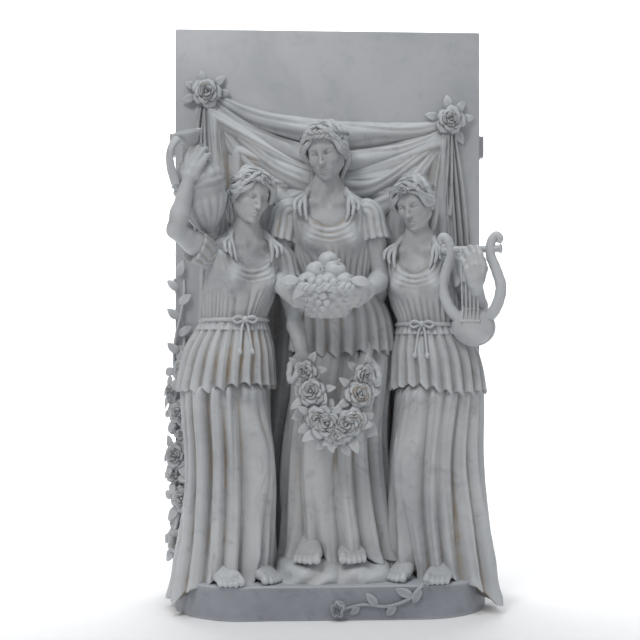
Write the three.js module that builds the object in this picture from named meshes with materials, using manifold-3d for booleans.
// A marble relief plaque: an upright slab on a ledge with rounded ends, carved in high relief with
// three draped maidens. The left one carries a jug on her shoulder, the middle one a basket of fruit,
// the right one a lyre, and a rose garland hangs between the outer two. A cloth swag hangs behind them.
// Everything is carved from one block. Millimetres, +Z up, the front faces -Y, and the origin is on
// the underside, in the middle of the slab's width and of the block's depth.
import * as THREE from "three";
import { mergeVertices } from "three/addons/utils/BufferGeometryUtils.js";
import Module from "manifold-3d";

// The block
const SLAB_WIDTH = 1080;
const SLAB_HEIGHT = 2000;
const SLAB_THICK = 110;
const SLAB_BEVEL = 5;
const BLOCK_DEPTH = 470;
const BACK_Y = BLOCK_DEPTH / 2;
const SLAB_Y = BACK_Y - SLAB_THICK;
const LEDGE_WIDTH = 1060;
const LEDGE_HEIGHT = 112;
const LEDGE_DEPTH = BLOCK_DEPTH - SLAB_THICK;
const LEDGE_END_RADIUS = 235;
const LUG = { wide: 78, thick: 55, side: 24, top: 8, z: 1560 };

// Body sections of a standing maiden, as shares of her height: level, half width, half depth
const DRESS = [
  [0.0, 0.134, 0.1],
  [0.07, 0.124, 0.092],
  [0.18, 0.116, 0.086],
  [0.3, 0.108, 0.083],
  [0.49, 0.106, 0.078],
  [0.505, 0.115, 0.086],
  [0.57, 0.1, 0.074],
  [0.628, 0.076, 0.056],
  [0.68, 0.085, 0.062],
  [0.728, 0.09, 0.064],
  [0.77, 0.09, 0.056],
  [0.8, 0.084, 0.047],
  [0.822, 0.056, 0.038],
  [0.845, 0.03, 0.031],
  [0.9, 0.028, 0.03],
];
const BODY_SIDES = 20;
const FOLDS_ROUND = 10;
// The hem of an outer maiden hangs down over the ledge where it passes the ledge's end.
const HEM_EDGE = 470;
const HEM_FALL = 60;
const SHOULDER = { out: 0.094, level: 0.79 };
const HEAD_LEVEL = 0.935;
const HEAD = { wide: 0.044, deep: 0.055, high: 0.066 };

// What hangs and climbs round the maidens
const GARLAND_ROSES = 9;
const GARLAND_DIP = 190;
const CLOTH_ROLLS = 4;
const CURTAIN = { folds: 11, thin: 16, deep: 46, foot: 960, top: 880 };
const CLIMBER_ROSES = 5;
const FRUIT_IN_RING = 5;

// The three maidens, from left to right. x and y are the place of the body's axis, turn is the body's
// turn towards the viewer's right, lean the sideways slope of the whole body, sway the push of the hip,
// trail how far the hem sweeps back, and knee the side of the relaxed leg. Arms are given as elbow,
// wrist and knuckles, and lengths other than x, y and rise are shares of the height in her own frame.
const MAIDENS = [
  {
    name: "jug",
    x: -340,
    y: -34,
    rise: 0,
    height: 1370,
    turn: 22,
    lean: 0.045,
    sway: -0.034,
    trail: -0.02,
    knee: 0.05,
    head: { turn: 30, tilt: 9, nod: 10 },
    arms: [
      [[-0.195, -0.035, 0.845], [-0.172, -0.05, 0.972], [-0.155, -0.045, 1.02]],
      [[0.125, -0.03, 0.645], [0.115, -0.115, 0.54], [0.11, -0.148, 0.512]],
    ],
  },
  {
    name: "basket",
    x: 4,
    y: 22,
    rise: 62,
    height: 1475,
    turn: -5,
    lean: -0.012,
    sway: 0.032,
    trail: 0.02,
    knee: -0.05,
    head: { turn: -22, tilt: -7, nod: 12 },
    arms: [
      [[-0.125, -0.015, 0.64], [-0.092, -0.125, 0.607], [-0.066, -0.155, 0.592]],
      [[0.125, -0.015, 0.64], [0.092, -0.125, 0.607], [0.066, -0.155, 0.592]],
    ],
  },
  {
    name: "lyre",
    x: 342,
    y: -34,
    rise: 0,
    height: 1345,
    turn: -24,
    lean: -0.04,
    sway: 0.034,
    trail: 0.02,
    knee: -0.05,
    head: { turn: -34, tilt: -9, nod: 14 },
    arms: [
      [[-0.125, -0.03, 0.645], [-0.115, -0.115, 0.54], [-0.11, -0.148, 0.512]],
      [[0.15, 0.0, 0.655], [0.17, -0.095, 0.73], [0.172, -0.115, 0.775]],
    ],
  },
];

const wasm = await Module();
wasm.setup();

// The geometry with its shared corners merged, so that it is one closed surface.
function welded(geometry) {
  const source = geometry.index ? geometry.toNonIndexed() : geometry;
  const rounded = source.getAttribute("position").array.map((v) => Math.round(v * 1e4) / 1e4);
  const bare = new THREE.BufferGeometry();
  bare.setAttribute("position", new THREE.BufferAttribute(rounded, 3));
  return mergeVertices(bare, 1e-3);
}

// A welded geometry as a solid, turned right side out.
function solidOf(geometry) {
  const vertProperties = new Float32Array(geometry.attributes.position.array);
  const triVerts = new Uint32Array(geometry.index.array);
  const make = () => new wasm.Manifold(new wasm.Mesh({ numProp: 3, vertProperties, triVerts }));
  const made = make();
  if (made.volume() > 0) return made;
  for (let i = 0; i < triVerts.length; i += 3) {
    [triVerts[i + 1], triVerts[i + 2]] = [triVerts[i + 2], triVerts[i + 1]];
  }
  return make();
}

const join = (solids) => solids.reduce((whole, solid) => whole.add(solid));
const clamp = THREE.MathUtils.clamp;
const rad = THREE.MathUtils.degToRad;
const bump = (x, middle, width) => Math.exp(-(((x - middle) / width) ** 2));

// The values of a table row at a level, read in a straight line between its neighbours.
function rowAt(rows, level) {
  const next = rows.findIndex((row) => row[0] >= level);
  if (next <= 0) return rows[next === 0 ? 0 : rows.length - 1];
  const [low, high] = [rows[next - 1], rows[next]];
  const share = (level - low[0]) / (high[0] - low[0]);
  return low.map((value, i) => value + (high[i] - value) * share);
}

// A closed barrel: wall(angle, t) is the point of its side at an angle and a share t of its height.
function barrel(sides, steps, wall) {
  const shape = welded(new THREE.CylinderGeometry(1, 1, 1, sides, steps));
  const place = shape.attributes.position;
  for (let i = 0; i < place.count; i++) {
    const t = place.getY(i) + 0.5;
    const point = new THREE.Vector3();
    if (Math.hypot(place.getX(i), place.getZ(i)) > 0.5) {
      point.copy(wall(Math.atan2(place.getX(i), place.getZ(i)), t));
    } else {
      for (let k = 0; k < sides; k++) {
        point.addScaledVector(wall((k / sides) * 2 * Math.PI, t), 1 / sides);
      }
    }
    place.setXYZ(i, point.x, point.y, point.z);
  }
  return solidOf(shape);
}

// A limb that runs smoothly through its points, with a radius for each. flat is how deep its section is,
// as a share of its width.
function limb(points, radii, sides = 7, steps = 4, flat = 1) {
  const path = new THREE.CatmullRomCurve3(points, false, "centripetal");
  const up = new THREE.Vector3(0, -1, 0.02);
  const radiusRows = radii.map((radius, i) => [i / (radii.length - 1), radius]);
  return barrel(sides, steps, (angle, t) => {
    const along = path.getTangent(t);
    const side = new THREE.Vector3().crossVectors(along, up).normalize();
    const front = new THREE.Vector3().crossVectors(side, along);
    const radius = rowAt(radiusRows, t)[1];
    return path
      .getPoint(t)
      .addScaledVector(side, radius * Math.cos(angle))
      .addScaledVector(front, radius * flat * Math.sin(angle));
  });
}

// A ball of half sizes, turned, with its surface moved out by swell(x, y, z) of the unit ball.
function ball(centre, sizes, turn = new THREE.Euler(), across = 6, down = 4, swell = () => 0) {
  const shape = welded(new THREE.SphereGeometry(1, across, down).rotateX(Math.PI / 2));
  const place = shape.attributes.position;
  const point = new THREE.Vector3();
  for (let i = 0; i < place.count; i++) {
    point.fromBufferAttribute(place, i);
    point.multiplyScalar(1 + swell(point.x, point.y, point.z));
    point.multiply(sizes).applyEuler(turn).add(centre);
    place.setXYZ(i, point.x, point.y, point.z);
  }
  return solidOf(shape);
}

function box(low, high) {
  const size = new THREE.Vector3().subVectors(high, low);
  const shape = new THREE.BoxGeometry(size.x, size.y, size.z);
  shape.translate((low.x + high.x) / 2, (low.y + high.y) / 2, (low.z + high.z) / 2);
  return solidOf(welded(shape));
}

const at = (x, y, z) => new THREE.Vector3(x, y, z);

// The slab, the ledge with its rounded ends, and the three lugs behind the slab's edges.
function block() {
  const outline = new THREE.Shape();
  const half = SLAB_WIDTH / 2 - SLAB_BEVEL;
  outline.moveTo(-half, SLAB_BEVEL);
  outline.lineTo(half, SLAB_BEVEL);
  outline.lineTo(half, SLAB_HEIGHT - SLAB_BEVEL);
  outline.lineTo(-half, SLAB_HEIGHT - SLAB_BEVEL);
  const slab = new THREE.ExtrudeGeometry(outline, {
    depth: SLAB_THICK - 2 * SLAB_BEVEL,
    bevelThickness: SLAB_BEVEL,
    bevelSize: SLAB_BEVEL,
    bevelSegments: 1,
  });
  slab.rotateX(Math.PI / 2);
  slab.translate(0, BACK_Y - SLAB_BEVEL, 0);

  const plan = new THREE.Shape();
  const end = LEDGE_WIDTH / 2;
  const corner = LEDGE_END_RADIUS;
  plan.moveTo(-end, SLAB_Y + SLAB_THICK / 2);
  plan.lineTo(-end, SLAB_Y - LEDGE_DEPTH + corner);
  plan.absarc(-end + corner, SLAB_Y - LEDGE_DEPTH + corner, corner, Math.PI, 1.5 * Math.PI);
  plan.lineTo(end - corner, SLAB_Y - LEDGE_DEPTH);
  plan.absarc(end - corner, SLAB_Y - LEDGE_DEPTH + corner, corner, 1.5 * Math.PI, 2 * Math.PI);
  plan.lineTo(end, SLAB_Y + SLAB_THICK / 2);
  const ledge = new THREE.ExtrudeGeometry(plan, {
    depth: LEDGE_HEIGHT,
    bevelEnabled: false,
    curveSegments: 14,
  });

  const sides = SLAB_WIDTH / 2;
  const back = BACK_Y - 8;
  const lugs = [
    [at(-sides - LUG.side, back - LUG.thick, LUG.z), at(-sides + 30, back, LUG.z + LUG.wide)],
    [at(sides - 30, back - LUG.thick, LUG.z), at(sides + LUG.side, back, LUG.z + LUG.wide)],
    [at(-75, back - LUG.thick, SLAB_HEIGHT - 30), at(LUG.wide - 75, back, SLAB_HEIGHT + LUG.top)],
  ].map(([low, high]) => box(low, high));
  return join([solidOf(welded(slab)), solidOf(welded(ledge)), ...lugs]);
}

// Waves that rise from 0 in a broad rounded valley to 1 on a slightly narrower ridge.
const ridge = (phase) => 1 - Math.abs(Math.cos(phase / 2)) ** 1.6;

// How far the dress stands out of its plain sections, as a share of the height.
function folds(maiden, angle, level) {
  const side = Math.sin(angle);
  const front = Math.max(0, Math.cos(angle));
  const bust = front * (bump(side, 0.46, 0.26) + bump(side, -0.46, 0.26));
  let out = 0.03 * bust * bump(level, 0.728, 0.034);
  if (level < 0.635) {
    const leg = bump(side, maiden.knee / 0.11, 0.34) * front;
    const calm = 1 - 0.85 * leg * clamp((level - 0.06) / 0.1, 0, 1);
    const deep = 0.008 + 0.018 * clamp((0.6 - level) / 0.5, 0, 1);
    out += deep * calm * (ridge(FOLDS_ROUND * angle - 24 * maiden.trail * (level - 0.3)) - 0.5) * 1.6;
    out += 0.03 * leg * bump(level, 0.285, 0.13);
  }
  return out;
}

// A point of the maiden's own frame, in shares of her height, as a place in the block.
function placer(maiden) {
  const turn = rad(maiden.turn);
  const [c, s] = [Math.cos(turn), Math.sin(turn)];
  const ground = LEDGE_HEIGHT + maiden.rise;
  return ([x, y, z]) =>
    at(
      maiden.x + maiden.height * (x * c - y * s + maiden.lean * z),
      maiden.y + maiden.height * (x * s + y * c),
      ground + maiden.height * z,
    );
}

// The body from the hem to the neck, in one barrel.
function body(maiden, place) {
  const levels = DRESS.map((row) => row[0]);
  const steps = levels.length - 1;
  return barrel(BODY_SIDES, steps, (angle, t) => {
    const level = levels[Math.round(t * steps)];
    const [, wide, deep] = rowAt(DRESS, level);
    const out = folds(maiden, angle, level);
    const middle = maiden.sway * bump(level, 0.5, 0.2) + maiden.trail * clamp(1 - level / 0.6, 0, 1) ** 2;
    const point = place([middle + (wide + out) * Math.sin(angle), -(deep + out) * Math.cos(angle), level]);
    if (level === 0) point.z -= 14 + HEM_FALL * clamp((Math.abs(point.x) - HEM_EDGE) / 70, 0, 1);
    return point;
  });
}

// An arm from inside the shoulder to the finger tips, in one smooth limb.
function arm(maiden, place, side, [elbow, wrist, knuckles]) {
  const size = maiden.height;
  const shoulder = [side * SHOULDER.out, 0.004, SHOULDER.level];
  const [s, e, w, k] = [shoulder, elbow, wrist, knuckles].map(place);
  const points = [s, s.clone().lerp(e, 0.5), e, e.clone().lerp(w, 0.45), w, k];
  points.push(k.clone().addScaledVector(k.clone().sub(w).normalize(), 0.03 * size));
  const radii = [0.031, 0.027, 0.0225, 0.022, 0.0145, 0.019, 0.01].map((r) => r * size);
  return limb(points, radii, 6, 11, 0.92);
}

// The head with brow, nose and chin, and waved hair that is parted in the middle and tied behind.
function head(maiden, place) {
  const size = maiden.height;
  const { turn, tilt, nod } = maiden.head;
  const pose = new THREE.Euler(rad(nod), rad(tilt), rad(turn), "ZYX");
  const centre = place([0, -0.012, HEAD_LEVEL]);
  const of = (x, y, z) => at(x * size, y * size, z * size);
  const from = (x, y, z) => of(x, y, z).applyEuler(pose).add(centre);
  const face = ball(centre, of(HEAD.wide, HEAD.deep, HEAD.high), pose, 11, 8, (x, y, z) => {
    const front = clamp(-y, 0, 1);
    const eyes = front * bump(Math.abs(x), 0.42, 0.22) * bump(z, 0.02, 0.16);
    const jaw = clamp(-z, 0, 1) * (0.12 * Math.abs(x) + 0.1 * clamp(y, 0, 1));
    return 0.05 * front * bump(z, -0.8, 0.25) - 0.1 * eyes - jaw;
  });
  const nose = limb(
    [from(0, -0.048, 0.008), from(0, -0.056, -0.012), from(0, -0.058, -0.021)],
    [0.0045, 0.006, 0.0075].map((r) => r * size), 5, 2);
  const hair = ball(from(0, 0.012, 0.014), of(0.052, 0.056, 0.058), pose, 14, 8, (x, y, z) => {
    const waves = ridge(7 * Math.atan2(z, -y) + 6 * Math.abs(x));
    const brow = clamp(-y * 2.2 - z * 0.9 - 0.35, 0, 1) * bump(x, 0, 0.8);
    return 0.08 * waves * (1 - brow) - 0.34 * brow;
  });
  const knot = ball(from(0, 0.066, 0.012), of(0.03, 0.026, 0.03), pose, 7, 4);
  return [face, nose, hair, knot];
}

function feet(maiden, place) {
  const size = maiden.height;
  return [-1, 1].map((side) => {
    const near = side * Math.sign(maiden.knee) > 0 ? 0.014 : 0;
    const points = [[0.045, 0, 0.02], [0.05, -0.08 - near, 0.018], [0.053, -0.12 - near, 0.01]];
    return limb(points.map(([x, y, z]) => place([side * x, y, z])),
      [0.024, 0.023, 0.018].map((r) => r * size), 6, 2, 0.7);
  });
}

// A turned form about an axis from foot to top; its profile has a radius for each share of the length.
function turned(foot, top, profile, sides = 11) {
  const axis = top.clone().sub(foot);
  const spin = new THREE.Quaternion().setFromUnitVectors(at(0, 1, 0), axis.clone().normalize());
  const outline = profile.map(([share, radius]) => new THREE.Vector2(radius, share * axis.length()));
  const shape = new THREE.LatheGeometry(outline, sides);
  shape.applyQuaternion(spin).translate(foot.x, foot.y, foot.z);
  return solidOf(welded(shape));
}

// A rose: a shallow cup of petals about a raised bud, facing the viewer.
function rose(x, y, z, radius) {
  return ball(at(x, y, z), at(radius, radius * 0.62, radius), new THREE.Euler(), 8, 4, (u, v, w) => {
    const petals = ridge(4 * Math.atan2(w, u));
    return clamp(-2 * v, 0, 1) * (0.1 * petals - 0.1 * bump(Math.hypot(u, w), 0.6, 0.2));
  });
}

// The jug on the left maiden's shoulder.
function jug(place, size) {
  const foot = place([-0.088, 0.02, 0.835]);
  const top = place([-0.172, -0.015, 1.085]);
  const profile = [
    [0, 0], [0, 0.02], [0.05, 0.022], [0.3, 0.056], [0.5, 0.064], [0.66, 0.052], [0.78, 0.024],
    [0.92, 0.022], [0.96, 0.036], [1, 0.037], [1, 0],
  ].map(([share, radius]) => [share, radius * size]);
  const handle = limb(
    [place([-0.17, -0.02, 1.055]), place([-0.215, -0.035, 1.035]), place([-0.2, -0.03, 0.955])],
    [0.009, 0.009, 0.009].map((r) => r * size), 6, 6);
  return [turned(foot, top, profile), handle];
}

// The basket that the middle maiden holds, heaped with round fruit.
function basket(place, size) {
  const foot = place([0, -0.118, 0.552]);
  const top = place([0, -0.126, 0.615]);
  const profile = [[0, 0], [0, 0.044], [0.8, 0.07], [0.82, 0.076], [1, 0.076], [1, 0]]
    .map(([share, radius]) => [share, radius * size]);
  const fruit = [];
  for (let k = 0; k <= FRUIT_IN_RING; k++) {
    const outer = k < FRUIT_IN_RING;
    const ring = outer ? 0.04 : 0;
    const turn = ((k - 0.25) / FRUIT_IN_RING) * 2 * Math.PI;
    const level = outer ? 0.622 : 0.636;
    const centre = place([ring * Math.cos(turn), -0.124 + ring * Math.sin(turn), level]);
    fruit.push(ball(centre, at(1, 1, 1).multiplyScalar(0.026 * size), undefined, 6, 4));
  }
  return [turned(foot, top, profile, 11), ...fruit];
}

// The lyre of the right maiden: a rounded sounding box, two curved arms and a bar across them.
function lyre(place, size) {
  const [middle, front] = [0.15, -0.06];
  const shell = at(0.052, 0.03, 0.045).multiplyScalar(size);
  const box = ball(place([middle, front, 0.625]), shell, undefined, 10, 6);
  const arms = [-1, 1].map((side) => {
    const outline = [[0.036, 0.65], [0.072, 0.72], [0.05, 0.8], [0.062, 0.85]];
    const points = outline.map(([out, level]) => place([middle + side * out, front, level]));
    return limb(points, [0.014, 0.012, 0.01, 0.012].map((r) => r * size), 6, 6);
  });
  const ends = [-0.075, 0.075].map((out) => place([middle + out, front, 0.815]));
  const bar = limb(ends, [0.0085 * size, 0.0085 * size], 6, 1);
  return [box, ...arms, bar];
}

// The rose garland between the lowered hands of the outer maidens.
function garland(start, end) {
  const middle = start.clone().lerp(end, 0.5).add(at(0, -62, -GARLAND_DIP));
  const low = (share) => start.clone().lerp(end, share).add(at(0, -52, -0.78 * GARLAND_DIP));
  const path = new THREE.CatmullRomCurve3([start, low(0.22), middle, low(0.78), end]);
  const roses = [];
  for (let k = 0; k < GARLAND_ROSES; k++) {
    const share = k / (GARLAND_ROSES - 1);
    const p = path.getPoint(share);
    const size = 42 + 10 * Math.sin(Math.PI * share) + (k % 2) * 4;
    roses.push(rose(p.x, p.y - 16, p.z + (k % 2 ? 7 : -7), size));
  }
  return roses;
}

// A line between the two knots that sags in the middle, share being 0 at the left knot and 1 at the right.
const KNOTS = [at(-430, SLAB_Y - 6, 1770), at(430, SLAB_Y - 6, 1680)];
function sagLine(share, sag) {
  const [left, right] = KNOTS;
  return left.clone().lerp(right, share).add(at(0, 0, -4 * sag * share * (1 - share)));
}

// The cloth hung behind the maidens from the two knots: rolls that sag between them, and below the
// lowest roll a curtain in upright folds that widens a little down to the ledge.
function backCloth() {
  const parts = [];
  const shares = [0, 0.2, 0.4, 0.6, 0.8, 1];
  for (let k = 0; k < CLOTH_ROLLS; k++) {
    const points = shares.map((share) => sagLine(share, 90 + 90 * k).add(at(0, 14 - 6 * k, -12 * k)));
    parts.push(limb(points, [18, 34, 44, 46, 34, 18], 5, 6, 1.1));
  }
  const lowestSag = 90 * CLOTH_ROLLS;
  const curtain = welded(new THREE.BoxGeometry(1, 1, 1, 2 * CURTAIN.folds, 1, 2));
  const place = curtain.attributes.position;
  for (let i = 0; i < place.count; i++) {
    const share = place.getX(i) + 0.5;
    const up = place.getZ(i) + 0.5;
    const top = sagLine(share, lowestSag).z - 20;
    const z = THREE.MathUtils.lerp(LEDGE_HEIGHT - 10, top, up);
    const x = (share - 0.5) * THREE.MathUtils.lerp(CURTAIN.foot, CURTAIN.top, up);
    const fold = ridge(2 * Math.PI * CURTAIN.folds * share) * (1 - 0.4 * up);
    const front = SLAB_Y - CURTAIN.thin - CURTAIN.deep * fold;
    place.setXYZ(i, x, place.getY(i) < 0 ? front : SLAB_Y + SLAB_THICK / 2, z);
  }
  parts.push(solidOf(curtain));
  parts.push(...KNOTS.map((knot) => rose(knot.x, knot.y - 18, knot.z, 52)));
  return parts;
}

// The rocks that the middle maiden stands on.
function rocks() {
  return [[-75, 0, 200], [95, -10, 190]].map(([x, y, wide]) =>
    ball(at(x, y, LEDGE_HEIGHT - 10), at(wide, 120, 80), undefined, 7, 4, (u, v, w) =>
      0.06 * Math.sin(5 * u + 3 * w) * Math.cos(4 * v)));
}

// A rose climber up the left edge of the slab.
function climber() {
  const parts = [];
  for (let k = 0; k < CLIMBER_ROSES; k++) {
    const z = 200 + k * 150;
    parts.push(rose(-SLAB_WIDTH / 2 + 18 + 16 * Math.sin(2.1 * k), SLAB_Y - 22, z, 48 - 2 * k));
  }
  return parts;
}

const parts = [block(), ...backCloth(), ...rocks(), ...climber()];
const hands = [];
for (const maiden of MAIDENS) {
  const place = placer(maiden);
  parts.push(body(maiden, place), ...head(maiden, place), ...feet(maiden, place));
  maiden.arms.forEach((joints, i) => parts.push(arm(maiden, place, i ? 1 : -1, joints)));
  if (maiden.name === "jug") {
    parts.push(...jug(place, maiden.height));
    hands.push(place(maiden.arms[1][2]));
  }
  if (maiden.name === "basket") parts.push(...basket(place, maiden.height));
  if (maiden.name === "lyre") {
    parts.push(...lyre(place, maiden.height));
    hands.push(place(maiden.arms[0][2]));
  }
}
parts.push(...garland(hands[0], hands[1]));
const space = box(at(-900, -600, 0), at(900, BACK_Y, 2200));
const joined = join(parts).intersect(space);

// Small hollows shut in between the forms are stone too, so only the outer surface is kept.
const surfaces = joined.decompose();
const carved = surfaces.reduce((whole, next) => (next.volume() > whole.volume() ? next : whole));

const mesh = carved.getMesh();
const geometry = new THREE.BufferGeometry();
geometry.setAttribute("position", new THREE.BufferAttribute(mesh.vertProperties, 3));
geometry.setIndex(new THREE.BufferAttribute(mesh.triVerts, 1));
geometry.computeVertexNormals();

const marble = new THREE.MeshStandardMaterial({ color: 0xc9cacb, roughness: 0.5, metalness: 0 });
const relief = new THREE.Mesh(geometry, marble);
relief.name = "marble_relief";

const plaque = new THREE.Group();
plaque.add(relief);
export default plaque;
